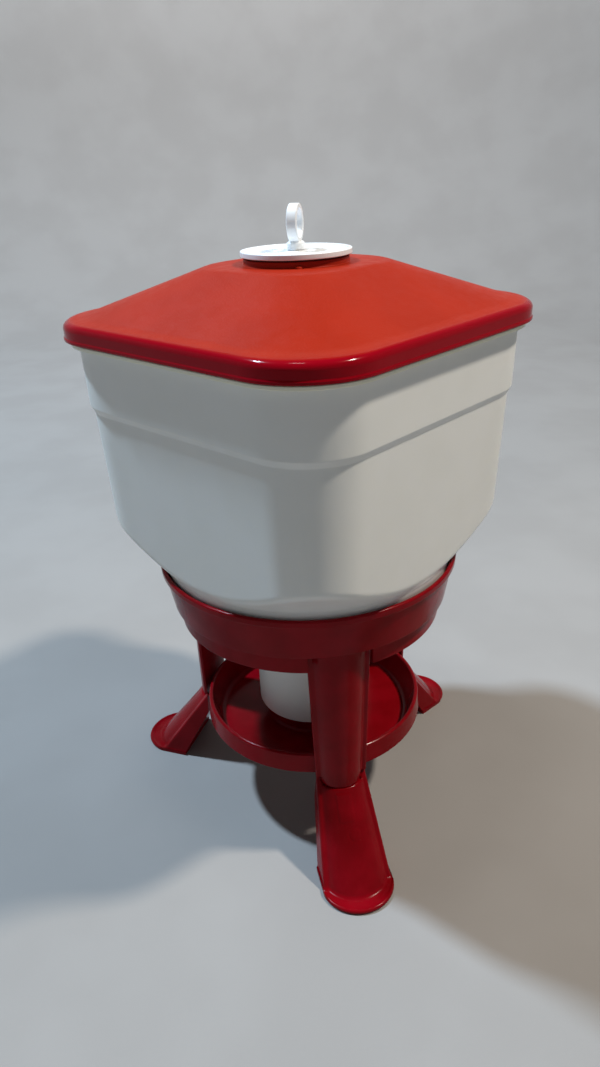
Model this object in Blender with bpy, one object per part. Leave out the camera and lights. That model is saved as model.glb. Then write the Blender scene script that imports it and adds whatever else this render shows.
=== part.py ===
"""Gravity poultry drinker: a square water tank on a three-legged stand, with a round drinking pan.

Metres, +Z up. The origin is on the tank's axis, at floor level. One leg points along -Y.
The tank is filled from above through the cap. A spring shuts the outlet valve, and the pull ring,
pushed down, opens it. The outlet neck's lower edge sets the water level in the pan.
"""

from math import acos, atan2, cos, pi, radians, sin, sqrt

import bmesh
import bpy
from mathutils import Matrix, Vector

# ---------------------------------------------------------------- driving sizes (metres)
GAP = 0.0003                 # clearance between touching pieces
WALL = 0.0030                # moulded wall of the tank, the roof and the base ring

TANK_TURN = radians(35.43)   # direction of one tank face, seen from above
LID_HALF = 0.1920            # half the side of the roof
LID_CORNER = 0.0763
SKIRT_BOTTOM = 0.5834
PLATEAU_HALF = 0.0804
PLATEAU_CORNER = 0.0560
PLATEAU_TOP = 0.6455
BOSS_TOP = 0.6512

CAP_RADIUS = 0.0560
CAP_TOP = 0.6583
CAP_UNDER = 0.6530
RING_OUTER = 0.0180          # the pull ring stands upright on its stem
RING_INNER = 0.0134
RING_WIDTH = 0.0100
RING_CENTRE = 0.6820
RING_TURN = radians(-24.4)
STEM_RADIUS = 0.0048

RIM_TOP = 0.5863
SEAL_TOP = 0.5902            # the roof presses its seal on the rim from here
RIM_HALF = 0.1808            # half the side of the rim that carries the roof's seal
BEAD_HALF = 0.1870           # of the flange under the rim
BAND_HALF = 0.1787           # and of the band below it, at its lower edge
SHOULDER_Z = 0.5085          # ledge between the tank's upper band and its wall
SHOULDER_HALF = 0.1748
SHOULDER_CORNER = 0.0638
WALL_TAPER = 0.0438          # sideways travel of the wall per metre of height
COLLAR_Z = 0.3375            # where the cone under the tank meets the round collar
COLLAR_RADIUS = 0.1659
CONE_SLOPE = 1.1400          # radius gained per metre of height, on the cone
SEAT_Z = 0.2825              # top of the base ring's seat

SPIGOT_END = 0.2460
SPIGOT_RADIUS = 0.0264
SPIGOT_BORE = 0.0205
NECK_RADIUS = 0.0680
NECK_BOTTOM = 0.1200
VALVE_TRAVEL = 0.0160

PAN_RADIUS = 0.1352
PAN_RIM = 0.1284
PAN_FLOOR = 0.0960
HUB_RADIUS = 0.0560
HUB_TOP = 0.1520

LIP_RADIUS = 0.1720
LIP_TOP = 0.3303
LEDGE_Z = 0.2793
BAND_RADIUS = 0.1545
BAND_BOTTOM = 0.2560

LEG_BACK = 0.1385            # distance of a leg's flat back from the axis
LEG_CREST = 0.1570           # and of its rounded front
LEG_STRIP = 0.0040           # thickness of the strips beside the rounded front
LEG_TOP = 0.2787
LEG_FOOT_Z = 0.0965          # the rounded front ends here, on the foot piece
FOOT_REACH = 0.2470          # from the axis to a foot's toe
LEG_ANGLES = [radians(-90.0), radians(30.0), radians(150.0)]

ROUND = 40                   # segments of the large turned pieces
MEDIUM = 32                  # of the cap, the neck and their seals
SMALL = 18                   # of the stem, the rod and the valve pieces


# ---------------------------------------------------------------- scene and materials
for leftover in list(bpy.data.objects):
    bpy.data.objects.remove(leftover, do_unlink=True)


def material(name, colour, roughness, metallic=0.0):
    made = bpy.data.materials.new(name)
    made.use_nodes = True
    shader = made.node_tree.nodes["Principled BSDF"]
    shader.inputs["Base Color"].default_value = (*colour, 1.0)
    shader.inputs["Roughness"].default_value = roughness
    shader.inputs["Metallic"].default_value = metallic
    return made


ROOF_RED = material("roof_red", (0.52, 0.06, 0.03), 0.35)
STAND_RED = material("stand_red", (0.30, 0.01, 0.02), 0.25)
TANK_WHITE = material("tank_white", (0.80, 0.79, 0.74), 0.40)
CAP_WHITE = material("cap_white", (0.86, 0.86, 0.86), 0.25)
VALVE_GREY = material("valve_grey", (0.45, 0.46, 0.47), 0.45)
RUBBER = material("rubber", (0.03, 0.03, 0.03), 0.80)
STEEL = material("steel", (0.60, 0.60, 0.60), 0.30, 1.0)


# ---------------------------------------------------------------- modelling helpers
def place(name, mesh, finish, smooth_angle=radians(32.0)):
    mesh.materials.append(finish)
    made = bpy.data.objects.new(name, mesh)
    bpy.context.scene.collection.objects.link(made)
    mesh.shade_smooth()
    mesh.set_sharp_from_angle(angle=smooth_angle)
    return made


def lofted(name, rows, finish, ends="joined"):
    """Skin through loops of points with equal counts. The loops run counter-clockwise seen from above.
    With ends "joined" the last loop meets the first, as in a tube; with "capped" both ends are filled."""
    bm = bmesh.new()
    loops = [[bm.verts.new(point) for point in row] for row in rows]
    count = len(loops[0])
    pairs = list(zip(loops, loops[1:]))
    if ends == "joined":
        pairs.append((loops[-1], loops[0]))
    for upper, lower in pairs:
        for i in range(count):
            j = (i + 1) % count
            bm.faces.new((upper[i], lower[i], lower[j], upper[j]))
    if ends == "capped":
        bm.faces.new(loops[0])
        bm.faces.new(list(reversed(loops[-1])))
    mesh = bpy.data.meshes.new(name)
    bm.to_mesh(mesh)
    bm.free()
    return place(name, mesh, finish)


def turned(name, profile, finish, segments=ROUND, turn=0.0):
    """Solid of revolution about Z. The profile lists (radius, z) down the outer side; it closes on itself
    unless it starts and ends on the axis."""
    mesh = bpy.data.meshes.new(name)
    points = [(radius, 0.0, z) for radius, z in profile]
    edges = [(i, i + 1) for i in range(len(points) - 1)]
    if profile[0][0] > 0.0:
        edges.append((len(points) - 1, 0))
    mesh.from_pydata(points, edges, [])
    made = bpy.data.objects.new(name, mesh)
    bpy.context.scene.collection.objects.link(made)
    made.rotation_euler.z = turn
    mesh.materials.append(finish)
    screw = made.modifiers.new("turn", "SCREW")
    screw.axis = "Z"
    screw.angle = 2.0 * pi
    screw.steps = segments
    screw.render_steps = segments
    screw.use_merge_vertices = True
    screw.merge_threshold = 0.00001
    screw.use_smooth_shade = True
    return made


def cut_or_join(target, tool, operation):
    """Boolean of one object with a helper that is left out of the model."""
    step = target.modifiers.new(operation.lower(), "BOOLEAN")
    step.operation = operation
    step.solver = "EXACT"
    step.object = tool
    tool.hide_render = True
    tool.display_type = "WIRE"
    return target


def spun(points, turn):
    """The points turned about Z."""
    spin = Matrix.Rotation(turn, 3, "Z")
    return [spin @ Vector(point) for point in points]


def rounded(corners, steps=3):
    """Closed profile whose corners (radius, z, fillet) become arcs where a fillet is given."""
    points = []
    count = len(corners)
    for i, (x, z, fillet) in enumerate(corners):
        here = Vector((x, z))
        if fillet <= 0.0:
            points.append((x, z))
            continue
        before = (Vector(corners[i - 1][:2]) - here).normalized()
        after = (Vector(corners[(i + 1) % count][:2]) - here).normalized()
        opening = acos(max(-1.0, min(1.0, before.dot(after))))
        reach = fillet / max(0.05, abs(sin(opening / 2.0) / cos(opening / 2.0)))
        centre = here + (before + after).normalized() * (fillet / sin(opening / 2.0))
        start = here + before * reach
        finish = here + after * reach
        first = atan2(start.y - centre.y, start.x - centre.x)
        sweep = atan2(finish.y - centre.y, finish.x - centre.x) - first
        sweep = (sweep + pi) % (2.0 * pi) - pi
        for k in range(steps + 1):
            angle = first + sweep * k / steps
            points.append((centre.x + fillet * cos(angle), centre.y + fillet * sin(angle)))
    return points


# Columns of the square-to-round pieces: close together at the corners, wide apart on the flats.
FLAT_STEPS = 7
CORNER_STEPS = 5
CORNER_FROM = radians(32.0)


def column_angles():
    angles = []
    for quarter in range(4):
        for k in range(FLAT_STEPS):
            angles.append(quarter * pi / 2 - CORNER_FROM + 2 * CORNER_FROM * k / FLAT_STEPS)
        for k in range(CORNER_STEPS):
            span = pi / 2 - 2 * CORNER_FROM
            angles.append(quarter * pi / 2 + CORNER_FROM + span * k / CORNER_STEPS)
    return angles


COLUMNS = column_angles()


def square_reach(angle, half, corner):
    """Distance from the axis to a rounded square's outline, in one direction."""
    across, along = abs(cos(angle)), abs(sin(angle))
    big, small = max(across, along), min(across, along)
    straight = half - corner
    if half * small / big <= straight:
        return half / big
    middle = straight * (across + along)
    return middle + sqrt(max(0.0, middle * middle - 2.0 * straight * straight + corner * corner))


def square_row(half, corner, z):
    return spun([(square_reach(a, half, corner) * cos(a), square_reach(a, half, corner) * sin(a), z)
                 for a in COLUMNS], TANK_TURN)


def round_row(radius, z):
    return spun([(radius * cos(a), radius * sin(a), z) for a in COLUMNS], TANK_TURN)


# ---------------------------------------------------------------- tank
def wall_half(z):
    return SHOULDER_HALF - (SHOULDER_Z - z) * WALL_TAPER


def tank_corner(half):
    return SHOULDER_CORNER + half - SHOULDER_HALF


def crease_row(inset):
    """Curved line where the tapering square wall runs into the cone, found by halving in each column."""
    row = []
    for angle in COLUMNS:
        low, high = COLLAR_Z - 0.004, SHOULDER_Z
        for _ in range(40):
            z = (low + high) / 2.0
            half = wall_half(z) - inset
            square = square_reach(angle, half, tank_corner(half))
            cone = COLLAR_RADIUS - inset + (z - COLLAR_Z) * CONE_SLOPE
            if cone < square:
                low = z
            else:
                high = z
        row.append((square * cos(angle), square * sin(angle), z))
    return spun(row, TANK_TURN)


def tank_row(half, z):
    return square_row(half, tank_corner(half), z)


def tank():
    band_low = SHOULDER_Z + 0.0070
    rows = [
        tank_row(RIM_HALF, RIM_TOP),
        tank_row(RIM_HALF - 0.0002, 0.5818),
        tank_row(BEAD_HALF, 0.5812),
        tank_row(BEAD_HALF, 0.5778),
        tank_row(RIM_HALF - 0.0004, 0.5770),
        tank_row(BAND_HALF, band_low),
        tank_row(SHOULDER_HALF, SHOULDER_Z),
        crease_row(0.0),
        round_row(COLLAR_RADIUS, COLLAR_Z),
        round_row(0.1652, LIP_TOP),
        round_row(0.1566, SEAT_Z + GAP),
        round_row(0.1518, SEAT_Z + GAP),
        round_row(0.1500, 0.2855),
        round_row(0.0720, 0.2655),
        round_row(SPIGOT_RADIUS, 0.2655),
        round_row(SPIGOT_RADIUS, SPIGOT_END),
        round_row(SPIGOT_BORE, SPIGOT_END),
        round_row(SPIGOT_BORE, 0.2700),
        round_row(0.0700, 0.2720),
        round_row(0.1525, 0.2895),
        round_row(0.1622, LIP_TOP),
        round_row(COLLAR_RADIUS - WALL, COLLAR_Z),
        crease_row(WALL),
        tank_row(SHOULDER_HALF - WALL, SHOULDER_Z + 0.0015),
        tank_row(BAND_HALF - WALL, band_low + 0.0010),
        tank_row(RIM_HALF - WALL, RIM_TOP),
    ]
    return lofted("tank", rows, TANK_WHITE)


# ---------------------------------------------------------------- roof and its seal
def lid_row(half, z):
    """Rounded square whose corners grow with it, from the plateau to the skirt."""
    share = (half - PLATEAU_HALF) / (LID_HALF - PLATEAU_HALF)
    return square_row(half, PLATEAU_CORNER + (LID_CORNER - PLATEAU_CORNER) * share, z)


def roof():
    rows = [
        round_row(0.0530, BOSS_TOP),
        round_row(0.0534, PLATEAU_TOP),
        lid_row(PLATEAU_HALF - 0.0040, PLATEAU_TOP - 0.0003),
        lid_row(PLATEAU_HALF + 0.0040, PLATEAU_TOP - 0.0022),
        lid_row(0.1320, 0.6222),
        lid_row(0.1750, 0.6042),
        lid_row(0.1840, 0.6016),
        lid_row(0.1895, 0.5980),
        lid_row(0.1918, 0.5930),
        lid_row(LID_HALF - 0.0005, 0.5868),
        lid_row(LID_HALF, 0.5858),
        lid_row(LID_HALF, SKIRT_BOTTOM),
        lid_row(LID_HALF - WALL, SKIRT_BOTTOM),
        lid_row(LID_HALF - WALL, 0.5930),
        lid_row(0.1852, 0.5978),
        tank_row(RIM_HALF + 0.0011, 0.5984),
        tank_row(RIM_HALF + 0.0011, SEAL_TOP),
        tank_row(RIM_HALF - 0.0037, SEAL_TOP),
        tank_row(RIM_HALF - 0.0037, 0.6003),
        lid_row(0.1730, 0.6014),
        lid_row(0.1310, 0.6190),
        lid_row(PLATEAU_HALF + 0.0010, PLATEAU_TOP - 0.0046),
        round_row(0.0520, PLATEAU_TOP - 0.0040),
        round_row(0.0520, 0.6320),
        round_row(0.0485, 0.6320),
        round_row(0.0485, BOSS_TOP),
    ]
    return lofted("roof_lid", rows, ROOF_RED)


def roof_seal():
    low, high = RIM_TOP + GAP, SEAL_TOP - GAP
    middle = (low + high) / 2.0
    rows = [tank_row(RIM_HALF + offset, z) for offset, z in
            ((-0.0007, high), (0.0003, middle), (-0.0007, low),
             (-0.0021, low), (-0.0031, middle), (-0.0021, high))]
    return lofted("roof_seal", rows, RUBBER)


# ---------------------------------------------------------------- cap, gland and pull ring
def fill_cap():
    profile = rounded([
        (CAP_RADIUS - 0.0035, CAP_TOP, 0.0), (CAP_RADIUS, CAP_TOP, 0.0008), (CAP_RADIUS, CAP_UNDER, 0.0006),
        (0.0466, CAP_UNDER, 0.0), (0.0466, 0.6450, 0.0), (0.0474, 0.6440, 0.0), (0.0466, 0.6430, 0.0),
        (0.0462, 0.6350, 0.0), (0.0437, 0.6350, 0.0), (0.0437, 0.6536, 0.0),
        (0.0087, 0.6536, 0.0), (0.0085, 0.6330, 0.0),
        (0.0053, 0.6330, 0.0), (0.0053, 0.6571, 0.0), (0.0110, 0.6571, 0.0), (CAP_RADIUS - 0.0043, 0.6563, 0.0),
    ], steps=1)
    return turned("fill_cap", profile, CAP_WHITE, MEDIUM + 8)


def cap_gasket():
    low, high = BOSS_TOP + GAP / 2, CAP_UNDER - GAP / 2
    profile = [(0.0520, high), (0.0520, low), (0.0492, low), (0.0492, high)]
    return turned("cap_gasket", profile, RUBBER, MEDIUM)


def gland():
    nut = turned("gland_nut", [
        (0.0112, 0.6400), (0.0120, 0.6392), (0.0120, 0.6262), (0.0112, 0.6254),
        (0.0053, 0.6254), (0.0053, 0.6290), (0.0089, 0.6290), (0.0089, 0.6400)], CAP_WHITE, SMALL)
    seal_radius = 0.0015
    ring = [(0.0070 + seal_radius * cos(a), 0.6310 + seal_radius * sin(a))
            for a in [radians(90 - 60 * k) for k in range(6)]]
    return nut, turned("rod_seal", ring, RUBBER, SMALL)


def upright_disc(name, radius, width, centre_z, turn, segments):
    """Short cylinder whose axis lies level, in the direction given."""
    ends = []
    for side in (0.5, -0.5):
        ends.append(spun([(side * width, radius * cos(2 * pi * k / segments),
                           centre_z + radius * sin(2 * pi * k / segments)) for k in range(segments)], turn))
    return lofted(name, ends, CAP_WHITE, ends="capped")


def pull_ring():
    shank = turned("pull_ring", [
        (0.0, 0.6655), (0.0070, 0.6655), (0.0090, 0.6640), (0.0090, 0.6580), (0.0086, 0.6575),
        (STEM_RADIUS, 0.6575), (STEM_RADIUS, 0.5990), (STEM_RADIUS - 0.0006, 0.5984), (0.0, 0.5984)],
        CAP_WHITE, SMALL)
    outer = upright_disc("ring_outside_tool", RING_OUTER, RING_WIDTH, RING_CENTRE, RING_TURN, 28)
    inner = upright_disc("ring_inside_tool", RING_INNER, RING_WIDTH * 2, RING_CENTRE, RING_TURN, 24)
    cut_or_join(shank, outer, "UNION")
    cut_or_join(shank, inner, "DIFFERENCE")
    return shank


def stem_foot():
    return turned("stem_foot", [
        (0.0080, 0.6055), (0.0088, 0.6047), (0.0088, 0.5930), (0.0080, 0.5922), (0.0060, 0.5922),
        (0.0060, 0.5962), (0.0050, 0.5972), (STEM_RADIUS + GAP, 0.5982), (STEM_RADIUS + GAP, 0.6055)],
        VALVE_GREY, SMALL)


# ---------------------------------------------------------------- outlet valve
def valve_rod():
    radius = 0.0040
    return turned("valve_rod", [
        (0.0, 0.5968), (0.0028, 0.5966), (0.0040, 0.5950), (radius, 0.2275), (0.0030, 0.2270),
        (0.0030, 0.2120), (0.0, 0.2116)], STEEL, 12)


def spring_collar():
    return turned("spring_collar", [
        (0.0095, 0.3105), (0.0105, 0.3095), (0.0105, 0.3060), (0.0043, 0.3060), (0.0043, 0.3105)],
        VALVE_GREY, SMALL)


def return_spring():
    """Compression spring with level end turns."""
    turns, per_turn, sides = 6, 12, 5
    wire, mean = 0.0008, 0.0074
    low, high = 0.2742 + wire, 0.3056 - wire
    total = turns * per_turn
    rows = []
    for i in range(total + 1):
        share = i / total
        eased = min(1.0, max(0.0, (share * turns - 0.75) / (turns - 1.5)))
        z = low + (high - low) * eased
        angle = 2 * pi * turns * share
        outward = Vector((cos(angle), sin(angle), 0.0))
        rows.append([outward * (mean + wire * cos(2 * pi * k / sides))
                     + Vector((0.0, 0.0, z + wire * sin(2 * pi * k / sides))) for k in range(sides)])
    return lofted("return_spring", rows, STEEL, ends="capped")


def rod_guide():
    """Hub on three arms inside the outlet, with a flange that lies on the tank's floor."""
    hub = turned("rod_guide", [
        (0.0092, 0.2738), (0.0088, 0.2600), (0.0044, 0.2600), (0.0044, 0.2738)],
        VALVE_GREY, SMALL)
    ring = turned("guide_ring_tool", [
        (0.0265, 0.2730), (0.0268, 0.2705), (0.0200, 0.2705), (0.0198, 0.2620),
        (0.0180, 0.2620), (0.0180, 0.2730)], VALVE_GREY, 24)
    cut_or_join(hub, ring, "UNION")
    for k in range(3):
        angle = radians(120.0 * k + 20.0)
        ends = [[(x, y, z) for x, y in ((0.0070, -0.0012), (0.0190, -0.0012), (0.0190, 0.0012),
                                        (0.0070, 0.0012))] for z in (0.2727, 0.2640)]
        arm = lofted(f"guide_arm_tool_{k}", [spun(end, angle) for end in ends], VALVE_GREY, ends="capped")
        cut_or_join(hub, arm, "UNION")
    return hub


def valve_parts():
    washer_top = SPIGOT_END - VALVE_TRAVEL - 0.0004
    washer = turned("valve_washer", [
        (0.0242, washer_top), (0.0242, washer_top - 0.0024),
        (0.0076, washer_top - 0.0024), (0.0076, washer_top)], RUBBER, 24)
    head = turned("valve_head", [
        (0.0073, 0.2315), (0.0073, 0.2269), (0.0246, 0.2269),
        (0.0246, 0.2238), (0.0100, 0.2216), (0.0033, 0.2216), (0.0033, 0.2266), (0.0043, 0.2266),
        (0.0043, 0.2315)], VALVE_GREY, 24)
    nut = turned("valve_nut", [
        (0.0060, 0.2213), (0.0068, 0.2207), (0.0068, 0.2161), (0.0060, 0.2155), (0.0037, 0.2155),
        (0.0037, 0.2213)], STEEL, 6)
    return washer, head, nut


# ---------------------------------------------------------------- outlet neck
def sector(name, inner, outer, low, high, middle, spread, finish, steps=3):
    """Block between two radii and two heights, spread about one direction."""
    angles = [middle + spread * (k / steps - 0.5) for k in range(steps + 1)]
    outline = [(outer * cos(a), outer * sin(a)) for a in angles]
    outline += [(inner * cos(a), inner * sin(a)) for a in reversed(angles)]
    rows = [[(x, y, z) for x, y in outline] for z in (high, low)]
    return lofted(name, rows, finish, ends="capped")


LUG_SPREAD = radians(24.0)


def outlet_neck():
    inner = NECK_RADIUS - 0.0026
    neck = turned("outlet_neck", rounded([
        (NECK_RADIUS, 0.2633, 0.0015), (NECK_RADIUS, NECK_BOTTOM, 0.0009), (inner, NECK_BOTTOM, 0.0009),
        (inner, 0.2602, 0.0), (0.0268, 0.2602, 0.0), (0.0268, 0.2633, 0.0)], steps=1), TANK_WHITE, ROUND)
    for k, angle in enumerate(LEG_ANGLES):
        ledge = sector(f"neck_ledge_tool_{k}", 0.0600, inner + 0.0010, 0.1360, 0.1412, angle,
                       LUG_SPREAD + radians(4.0), TANK_WHITE)
        cut_or_join(neck, ledge, "UNION")
    return neck


def neck_fastening():
    gasket = turned("neck_gasket", [
        (0.0445, 0.2652), (0.0445, 0.2636), (0.0270, 0.2636), (0.0270, 0.2652)], RUBBER, MEDIUM)
    nut = turned("neck_nut", [
        (0.0400, 0.2599), (0.0400, 0.2572), (0.0350, 0.2565), (0.0342, 0.2484),
        (0.0267, 0.2484), (0.0267, 0.2599)], CAP_WHITE, MEDIUM)
    return gasket, nut


# ---------------------------------------------------------------- drinking pan
def drinking_pan():
    profile = [
        (0.0, HUB_TOP), (0.0530, HUB_TOP - 0.0008), (HUB_RADIUS - 0.0004, HUB_TOP - 0.0040),
        (HUB_RADIUS, 0.0995), (0.0590, PAN_FLOOR), (0.1160, PAN_FLOOR), (0.1205, 0.0990),
        (0.1278, 0.1235), (0.1292, 0.1274), (0.1315, PAN_RIM), (0.1336, 0.1268),
        (PAN_RADIUS, 0.1036), (0.1330, 0.1036), (0.1318, 0.1222), (0.1300, 0.1222),
        (0.1225, 0.0970), (0.1170, 0.0934), (0.0565, 0.0934), (HUB_RADIUS - 0.0026, 0.0975),
        (HUB_RADIUS - 0.0032, HUB_TOP - 0.0050), (0.0, HUB_TOP - 0.0030)]
    pan = turned("drinking_pan", profile, STAND_RED, ROUND)
    for k, angle in enumerate(LEG_ANGLES):
        lug = sector(f"pan_lug_tool_{k}", HUB_RADIUS - 0.0022, 0.0630, 0.1418, 0.1462, angle,
                     LUG_SPREAD, STAND_RED)
        cut_or_join(pan, lug, "UNION")
    return pan


# ---------------------------------------------------------------- stand
CREST_STEPS = 6


def leg_section(back, front, crest, half, dome_half, z):
    """Level section of a leg: a flat back, a strip at each side and a rounded front between them."""
    height = crest - front
    radius = (dome_half * dome_half + height * height) / (2.0 * height)
    spread = atan2(dome_half, radius - height)
    points = [(back, -half), (front, -half)]
    for k in range(CREST_STEPS + 1):
        angle = -spread + 2.0 * spread * k / CREST_STEPS
        points.append((crest - radius + radius * cos(angle), radius * sin(angle)))
    points += [(front, half), (back, half)]
    return [(x, y, z) for x, y in points]


def leg_half(z):
    """The upper leg narrows evenly from its top to its foot."""
    return 0.0291 + (0.0347 - 0.0291) * (z - 0.096) / (LEG_TOP - 0.096)


def leg_rows(z_top, z_low, grow=0.0):
    rows = []
    for z in (z_top, z_low):
        half = leg_half(z) + grow
        rows.append(leg_section(LEG_BACK - grow, LEG_BACK + LEG_STRIP + grow, LEG_CREST + grow,
                                half, half - 0.0060, z))
    return rows


def hollow_row(z, gap=0.0):
    """Section of the space inside an upper leg, less a gap all round."""
    wall = 0.0026 + gap
    dome = leg_half(z) - 0.0060 - wall
    return leg_section(LEG_BACK + wall, LEG_BACK + LEG_STRIP + 0.0010, LEG_CREST - wall,
                       dome + 0.0004, dome, z)


EAR_Z = 0.1050               # the foot piece's sides reach up to here
PLUG_Z = 0.0780              # lower end of the upper leg's plug
FLANGE_TOP = 0.0055          # top of the plate that a foot stands on


def upper_leg(name, turn):
    front = LEG_BACK + LEG_STRIP
    dome = leg_half(EAR_Z) - 0.0060
    plug = dome - 0.0030
    rows = leg_rows(LEG_TOP, EAR_Z + GAP)
    rows += [leg_section(LEG_BACK + 0.0030, front - 0.0005, LEG_CREST - GAP, dome - GAP, dome - 0.0008, z)
             for z in (EAR_Z + GAP, LEG_FOOT_Z)]
    rows += [leg_section(LEG_BACK + 0.0039, front + 0.0008, LEG_CREST - 0.0036, plug + 0.0004, plug, z)
             for z in (LEG_FOOT_Z, PLUG_Z)]
    rows += [leg_section(LEG_BACK + 0.0056, front + 0.0024, LEG_CREST - 0.0060,
                         plug - 0.0020, plug - 0.0024, z)
             for z in (PLUG_Z, EAR_Z + 0.0010)]
    rows.append(hollow_row(EAR_Z + 0.0035))
    rows.append(hollow_row(LEG_TOP))
    return lofted(name, [spun(row, turn) for row in rows], STAND_RED)


def foot_row(z, wall=0.0):
    """Level section of the splayed foot piece; with a wall, of the space inside it."""
    down = (0.0955 - z) / 0.0955
    back = LEG_BACK if z > 0.076 else LEG_BACK + 0.0410 * (0.076 - z) / 0.076
    front = 0.1452 + 0.0680 * down
    crest = 0.1570 + 0.0770 * down
    half = 0.0295 + 0.0100 * down
    dome = 0.0238 + 0.0100 * down
    if wall:
        back_wall = wall if z > 0.076 else wall * 1.15
        return leg_section(back + back_wall, min(front, crest - 0.006) - wall * 0.6, crest - wall * 1.3,
                           dome - wall + 0.0006, dome - wall, z)
    return leg_section(back, front, crest, half, dome, z)


def flange_row(z, inset=0.0):
    """Rounded plate that the foot stands on."""
    middle, back = 0.2085, 0.1765 + inset
    reach, half = FOOT_REACH - middle - inset, 0.0408 - inset
    points = [(back, -half), (0.1960, -half - 0.0004)]
    for k in range(CREST_STEPS + 1):
        angle = radians(-82.0 + 164.0 * k / CREST_STEPS)
        points.append((middle + reach * cos(angle), half * sin(angle)))
    points += [(0.1960, half + 0.0004), (back, half)]
    return [(x, y, z) for x, y in points]


def raised_sides(row):
    """The section's two strips lifted into ears that stand beside the upper leg."""
    return [(min(x, 0.1440), y, EAR_Z) if abs(y) > 0.0250 else (x, y, z) for x, y, z in row]


def foot_piece(name, turn):
    top = LEG_FOOT_Z - GAP - 0.0002
    front, crest, dome = 0.1452, LEG_CREST, 0.0238
    ear_inside = raised_sides(leg_section(LEG_BACK + 0.0014, front, crest - 0.0005, 0.0264, dome, top))
    socket_mouth = leg_section(LEG_BACK + 0.0022, front - 0.0004, crest - 0.0009,
                               0.0243, dome - 0.0002, top)
    rows = [socket_mouth, ear_inside, raised_sides(foot_row(top))]
    rows += [foot_row(z) for z in (0.0860, 0.0760, 0.0400, FLANGE_TOP)]
    rows += [flange_row(FLANGE_TOP, 0.0016), flange_row(0.0038), flange_row(0.0)]
    rows += [foot_row(z, 0.0026) for z in (0.0, 0.0400, 0.0758, 0.0860)]
    rows.append(foot_row(top, 0.0024))
    return lofted(name, [spun(row, turn) for row in rows], STAND_RED)


def base_ring():
    profile = rounded([
        (LIP_RADIUS, LIP_TOP, 0.0026), (LIP_RADIUS - 0.0004, LIP_TOP - 0.0078, 0.0016),
        (LIP_RADIUS - 0.0034, LIP_TOP - 0.0090, 0.0),
        (0.1613, LEDGE_Z, 0.0010), (BAND_RADIUS, LEDGE_Z, 0.0), (BAND_RADIUS - 0.0004, BAND_BOTTOM, 0.0008),
        (BAND_RADIUS - 0.0032, BAND_BOTTOM, 0.0008), (BAND_RADIUS - 0.0030, SEAT_Z, 0.0),
        (0.1582, SEAT_Z, 0.0), (0.1672, LIP_TOP, 0.0020)], steps=1)
    ring = turned("base_ring", profile, STAND_RED, ROUND)
    for k, turn in enumerate(LEG_ANGLES):
        slot = lofted(f"leg_slot_tool_{k}", [spun(row, turn) for row in
                                             leg_rows(LEG_TOP + GAP, BAND_BOTTOM - 0.0060, GAP)],
                      STAND_RED, ends="capped")
        cut_or_join(ring, slot, "DIFFERENCE")
    for k, turn in enumerate(LEG_ANGLES):
        half = leg_half(LEG_TOP)
        pad = [leg_section(LEG_BACK, LEG_BACK + LEG_STRIP, LEG_CREST, half, half - 0.0060, z)
               for z in (SEAT_Z - 0.0004, LEDGE_Z + 0.0004)]
        tenon = [hollow_row(LEDGE_Z + 0.0004, 0.0004), hollow_row(0.2580, 0.0008)]
        made = lofted(f"leg_tenon_tool_{k}", [spun(row, turn) for row in pad + tenon],
                      STAND_RED, ends="capped")
        cut_or_join(ring, made, "UNION")
    return ring


# ---------------------------------------------------------------- assembly
tank()
roof()
roof_seal()
fill_cap()
cap_gasket()
gland()
pull_ring()
stem_foot()
valve_rod()
spring_collar()
return_spring()
rod_guide()
valve_parts()
outlet_neck()
neck_fastening()
drinking_pan()
base_ring()
for number, leg_angle in enumerate(LEG_ANGLES, start=1):
    upper_leg(f"leg_upper_{number}", leg_angle)
    foot_piece(f"leg_foot_{number}", leg_angle)
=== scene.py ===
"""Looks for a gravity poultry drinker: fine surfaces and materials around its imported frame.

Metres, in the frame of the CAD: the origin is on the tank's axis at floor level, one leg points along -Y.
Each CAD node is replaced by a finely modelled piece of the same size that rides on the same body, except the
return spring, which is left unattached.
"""

from math import acos, atan2, ceil, cos, pi, radians, sin, sqrt, tan

import bmesh
import bpy
from mathutils import Matrix, Vector


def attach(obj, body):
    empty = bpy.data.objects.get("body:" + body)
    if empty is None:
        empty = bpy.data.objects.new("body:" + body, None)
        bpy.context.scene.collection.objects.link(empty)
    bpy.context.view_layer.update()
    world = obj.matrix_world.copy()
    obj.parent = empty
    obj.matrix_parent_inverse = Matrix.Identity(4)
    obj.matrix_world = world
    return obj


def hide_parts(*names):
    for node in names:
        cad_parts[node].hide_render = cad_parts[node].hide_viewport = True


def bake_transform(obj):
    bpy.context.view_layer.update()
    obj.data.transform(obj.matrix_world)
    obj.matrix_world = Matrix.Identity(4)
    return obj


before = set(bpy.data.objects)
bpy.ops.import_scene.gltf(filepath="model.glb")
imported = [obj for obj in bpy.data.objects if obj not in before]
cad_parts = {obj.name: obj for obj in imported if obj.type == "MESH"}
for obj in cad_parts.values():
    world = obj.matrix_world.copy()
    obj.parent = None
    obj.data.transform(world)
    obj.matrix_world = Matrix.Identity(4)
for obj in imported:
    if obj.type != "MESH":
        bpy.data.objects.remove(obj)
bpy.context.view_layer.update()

# ---------------------------------------------------------------- sizes that the pieces share (metres)
WALL = 0.0030
TANK_TURN = radians(35.43)   # direction of one tank face, seen from above
LEG_ANGLES = [radians(-90.0), radians(30.0), radians(150.0)]

LID_HALF = 0.1920            # half the side of the roof
LID_CORNER = 0.0763
SKIRT_BOTTOM = 0.5834
PLATEAU_HALF = 0.0804
PLATEAU_CORNER = 0.0560
PLATEAU_TOP = 0.6455
BOSS_RADIUS = 0.0534
BOSS_TOP = 0.6512
CAP_RADIUS = 0.0560
CAP_TOP = 0.6583

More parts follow.
